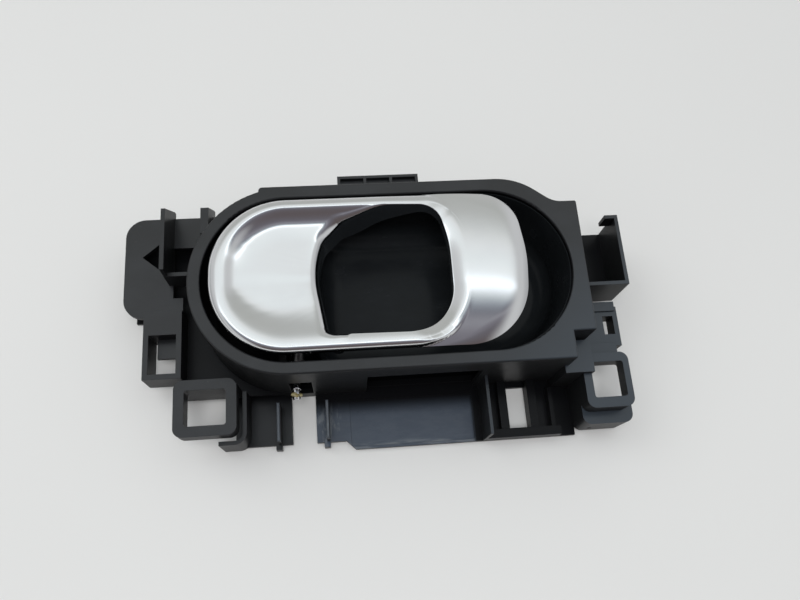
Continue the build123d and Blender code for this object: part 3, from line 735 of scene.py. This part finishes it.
    bm = bmesh.new()
    number = bm.verts.layers.int.new("station")
    ring = bmesh.ops.create_circle(bm, segments=len(stations), radius=1.0)["verts"]
    for i, vert in enumerate(ring):
        vert[number] = i
        flat, z = underEdge(stations[i], *hem)
        vert.co = (flat.x, flat.y, z)
    ringEdges = list(bm.edges)
    for place, *values in loops:
        made = bmesh.ops.extrude_edge_only(bm, edges=ringEdges)["geom"]
        fresh = {g for g in made if isinstance(g, bmesh.types.BMVert)}
        for vert in fresh:
            flat, z = place(stations[vert[number]], *values)
            vert.co = (flat.x, flat.y, z)
        ringEdges = [g for g in made if isinstance(g, bmesh.types.BMEdge) and fresh.issuperset(g.verts)]
    bmesh.ops.remove_doubles(bm, verts=bm.verts, dist=0.002)
    bmesh.ops.recalc_face_normals(bm, faces=bm.faces)
    return makePiece(bm, "leverShell", finishes["lever"], sharp=50.0)


lever = makeLeverShell(leverShell)
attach(lever, "pull_lever")
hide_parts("lever")
print("lever shell:", len(lever.data.polygons), "faces")


# Hinge lugs and the spring's rest under the dish, the crank and the cable peg
leverCrank = {
    "pivot": (-36.6, 30.5), "lugRadius": 4.5, "lugFrom": 22.0, "lugTo": 28.0, "lugTop": 41.6,
    "crankLength": 15.0, "crankWidth": 6.0, "crankThick": 3.5, "crankTilt": 8.0,
    "pegRadius": 1.5, "pegEnd": -42.4, "shoulderRadius": 1.9, "shoulderEnd": -38.5, "edge": 0.35,
    "restFrom": (-50.0, -5.175, 34.4), "restTo": (-45.0, -2.175, 41.6),
}


def roundOver(bm, edges, size):
    bmesh.ops.bevel(bm, geom=list(edges), offset=size, offset_type="OFFSET", affect="EDGES", segments=3,
                    profile=0.5, material=-1, clamp_overlap=True)


# A rod along Y between two places, its end edges rounded over
def addRod(bm, radius, x, z, y0, y1, edge, segments=36):
    turned = Matrix.Translation((x, (y0 + y1) / 2, z)) @ Matrix.Rotation(pi / 2, 4, "X")
    rod = bmesh.ops.create_cone(
        bm, cap_ends=True, segments=segments, radius1=radius, radius2=radius, depth=y1 - y0,
        matrix=turned)["verts"]
    rims = {e for v in rod for e in v.link_edges if abs(e.verts[0].co.y - e.verts[1].co.y) < 1e-4}
    roundOver(bm, rims, edge)


# A thick plate square to Y: a disc whose upper half is carried up by a length, then drawn out
def addPlate(bm, radius, lift, flatTop, y0, y1, place, edge):
    disc = bmesh.ops.create_circle(bm, cap_ends=True, segments=40, radius=radius)["verts"]
    for vert in disc:
        if vert.co.y > 1e-4:
            vert.co.y = lift if flatTop else vert.co.y + lift
    bmesh.ops.rotate(bm, cent=(0, 0, 0), matrix=Matrix.Rotation(pi / 2, 3, "X"), verts=disc)
    face = disc[0].link_faces[0]
    drawn = bmesh.ops.extrude_face_region(bm, geom=[face])["geom"]
    far = [g for g in drawn if isinstance(g, bmesh.types.BMVert)]
    bmesh.ops.translate(bm, vec=(0, y1 - y0, 0), verts=far)
    whole = disc + far
    bmesh.ops.transform(bm, matrix=place @ Matrix.Translation((0, y0, 0)), verts=whole)
    rims = {e for v in whole for e in v.link_edges if (e.verts[0] in far) == (e.verts[1] in far)}
    roundOver(bm, rims, edge)


def makeLeverCrank(c):
    bm = bmesh.new()
    x, z = c["pivot"]
    at = Matrix.Translation((x, 0, z))
    for y0, y1 in ((-c["lugTo"], -c["lugFrom"]), (c["lugFrom"], c["lugTo"])):
        addPlate(bm, c["lugRadius"], c["lugTop"] - z, True, y0, y1, at, c["edge"])
    tilt = radians(c["crankTilt"])
    down = at @ Matrix.Rotation(pi + tilt, 4, "Y")
    crankEnd = -c["lugTo"] + c["crankThick"]
    addPlate(bm, c["crankWidth"] / 2, c["crankLength"], False, -c["lugTo"], crankEnd, down, c["edge"])
    pegX = x - c["crankLength"] * sin(tilt)
    pegZ = z - c["crankLength"] * cos(tilt)
    inner = -c["lugTo"] + c["crankThick"] / 2
    addRod(bm, c["pegRadius"], pegX, pegZ, c["pegEnd"], inner, c["edge"])
    addRod(bm, c["shoulderRadius"], pegX, pegZ, c["shoulderEnd"], inner, c["edge"])
    restLow, restHigh = Vector(c["restFrom"]), Vector(c["restTo"])
    restPlace = Matrix.Translation((restLow + restHigh) / 2) @ Matrix.Diagonal(restHigh - restLow).to_4x4()
    rest = bmesh.ops.create_cube(bm, size=1.0, matrix=restPlace)["verts"]
    roundOver(bm, {e for v in rest for e in v.link_edges}, c["edge"])
    bmesh.ops.recalc_face_normals(bm, faces=bm.faces)
    return makePiece(bm, "leverCrank", finishes["lever"], sharp=35.0), (pegX, pegZ)


crank, pegPlace = makeLeverCrank(leverCrank)
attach(crank, "pull_lever")
print("crank and peg at", [round(v, 2) for v in pegPlace])


# Grease: a lopsided dab round the end of the peg
greaseDab = {
    "y": -40.6, "radius": 1.9, "squash": (1.0, 0.72, 0.95),
    "lump": 0.55, "lumpScale": 0.55, "lumpPlace": (3.1, 0.4, 1.7),
}


def makeGreaseDab(c, peg):
    bm = bmesh.new()
    bmesh.ops.create_icosphere(bm, subdivisions=4, radius=c["radius"])
    for vert in bm.verts:
        vert.co *= 1 + c["lump"] * noise.noise(vert.co * c["lumpScale"] + Vector(c["lumpPlace"]))
    bmesh.ops.scale(bm, vec=c["squash"], verts=bm.verts)
    bmesh.ops.smooth_vert(bm, verts=bm.verts, factor=0.5, use_axis_x=True, use_axis_y=True, use_axis_z=True)
    bmesh.ops.translate(bm, vec=(peg[0], c["y"], peg[1]), verts=bm.verts)
    return makePiece(bm, "greaseDab", makeHingeGrease(hingeGrease), sharp=80.0)


grease = makeGreaseDab(greaseDab, pegPlace)
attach(grease, "pull_lever")
print("grease on the peg")


# Return spring: wire wound on the pin, one leg down to the web and one under the dish
springWire = {
    "pivot": leverCrank["pivot"], "coil": 3.0, "wire": 0.6, "pitch": 1.4, "turns": 5.25, "steps": 24,
    "footLength": 27.2, "legReach": 14.0,
}


def makeSpringWire(c):
    bm = bmesh.new()
    height = c["pitch"] * c["turns"]
    x, z = c["pivot"]
    ring = bmesh.ops.create_circle(bm, segments=14, radius=c["wire"])["verts"]
    bmesh.ops.translate(bm, vec=(x + c["coil"], height / 2, z), verts=ring)
    steps = round(c["turns"] * c["steps"])
    firstEdges = list(bm.edges)
    spun = bmesh.ops.spin(
        bm, geom=ring + firstEdges, cent=(x, 0, z), axis=(0, -1, 0), dvec=(0, -height / steps, 0),
        angle=2 * pi * c["turns"], steps=steps, use_merge=False)["geom_last"]
    lastEdges = [g for g in spun if isinstance(g, bmesh.types.BMEdge)]
    for edges, way in ((firstEdges, (0, 0, -c["footLength"])), (lastEdges, (-c["legReach"], 0, 0))):
        drawn = bmesh.ops.extrude_edge_only(bm, edges=edges)["geom"]
        far = [g for g in drawn if isinstance(g, bmesh.types.BMVert)]
        bmesh.ops.translate(bm, vec=way, verts=far)
        bmesh.ops.contextual_create(bm, geom=far)
    bmesh.ops.recalc_face_normals(bm, faces=bm.faces)
    return makePiece(bm, "springWire", finishes["return_spring"], sharp=50.0), height


spring, springHeight = makeSpringWire(springWire)
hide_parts("return_spring")
springFrom = (handleOrigin + Vector((0, springHeight / 2, 0))) * mm
springTo = (handleOrigin - Vector((0, springHeight / 2, 0))) * mm
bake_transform(spring)
print("spring:", len(spring.data.polygons), "faces")


# Floor: a pale, slightly sheeny table top
tableTop = {
    "colour": (0.765, 0.768, 0.755, 1), "shade": (0.73, 0.733, 0.722, 1), "size": 3.0, "shadeSize": 0.25,
    "rough": 0.5, "specular": 0.25,
}


def makeTableTop(c):
    bm = bmesh.new()
    bmesh.ops.create_grid(bm, x_segments=6, y_segments=6, size=c["size"])
    mesh = bpy.data.meshes.new("tableTop")
    bm.to_mesh(mesh)
    bm.free()
    material, f = newFinish("tableTop")
    f.surface({
        "Base Color": f.mix(f.grain(c["shadeSize"]), c["shade"], c["colour"]),
        "Roughness": c["rough"],
        "Specular IOR Level": c["specular"],
    })
    mesh.materials.append(material)
    top = bpy.data.objects.new("tableTop", mesh)
    scene.collection.objects.link(top)


makeTableTop(tableTop)


# Room: a bright band just behind overhead, pale behind it, dark above and in front, grey at both sides.
# Bands go from straight down by way of the front, at 0, over straight up, at 0.5, and on behind, to 1.
room = {
    "strength": 1.0,
    "bands": [
        (0.00, (0.14, 0.12, 0.12)), (0.10, (0.12, 0.10, 0.098)), (0.25, (0.125, 0.105, 0.108)),
        (0.40, (0.155, 0.145, 0.165)), (0.459, (0.215, 0.205, 0.235)), (0.471, (0.27, 0.265, 0.295)),
        (0.482, (0.32, 0.32, 0.35)), (0.492, (0.25, 0.245, 0.275)), (0.503, (0.19, 0.195, 0.225)),
        (0.514, (0.25, 0.27, 0.31)), (0.526, (0.42, 0.46, 0.50)), (0.536, (0.64, 0.70, 0.71)),
        (0.546, (0.92, 0.96, 0.97)), (0.556, (1.6, 1.72, 1.82)), (0.568, (1.6, 1.72, 1.82)),
        (0.584, (1.03, 1.07, 1.07)), (0.615, (0.93, 0.98, 0.985)), (0.650, (0.88, 0.905, 0.91)),
        (0.672, (0.80, 0.82, 0.81)), (0.694, (0.66, 0.68, 0.67)), (0.722, (0.535, 0.545, 0.53)),
        (0.760, (0.49, 0.50, 0.48)), (1.00, (0.53, 0.53, 0.52))],
    "sides": (0.62, 0.625, 0.63, 1), "sidesFrom": (0.45, 0.75), "far": (0.42, 0.425, 0.435, 1),
    "farFrom": (0.82, 1.0),
}


def makeRoom(c):
    world = bpy.data.worlds.new("room")
    scene.world = world
    world.use_nodes = True
    f = Finish(world.node_tree)
    way = f.node("TexCoord", give="Generated")
    across, back, rise = [f.node("SeparateXYZ", {}, {0: way}, axis) for axis in "XYZ"]
    bands = f.node("ValToRGB", {"stops": c["bands"]}, {"Fac": back.angleFrom(rise) / pi + 0.5})
    beside = abs(across)
    sides = f.mix(f.step(beside, *c["farFrom"]), c["sides"], c["far"])
    colour = f.mix(f.step(beside, *c["sidesFrom"]), bands, sides)
    sky = f.node("Background", {}, {"Color": colour, "Strength": c["strength"]})
    f.node("OutputWorld", {}, {"Surface": sky})


makeRoom(room)

# Two soft boxes that light the table: one near the camera's line, one from the upper left
softBoxes = [
    {"name": "frontBox", "place": (-0.05, -0.30, 1.5), "aim": (0.0, 0.0, 0.0), "size": (0.7, 0.7),
     "power": 10.5},
    {"name": "upperLeft", "place": (-1.0, 0.7, 1.3), "aim": (0.0, 0.0, 0.02), "size": (1.0, 1.0),
     "power": 4.5},
]


def makeSoftBox(c):
    data = bpy.data.lights.new(c["name"], "AREA")
    data.shape = "RECTANGLE"
    data.size, data.size_y = c["size"]
    data.energy = c["power"]
    box = bpy.data.objects.new(c["name"], data)
    scene.collection.objects.link(box)
    box.location = c["place"]
    box.rotation_euler = (Vector(c["aim"]) - Vector(c["place"])).to_track_quat("-Z", "Y").to_euler()
    box.visible_glossy = False


for softBox in softBoxes:
    makeSoftBox(softBox)
print("table, room and soft boxes")
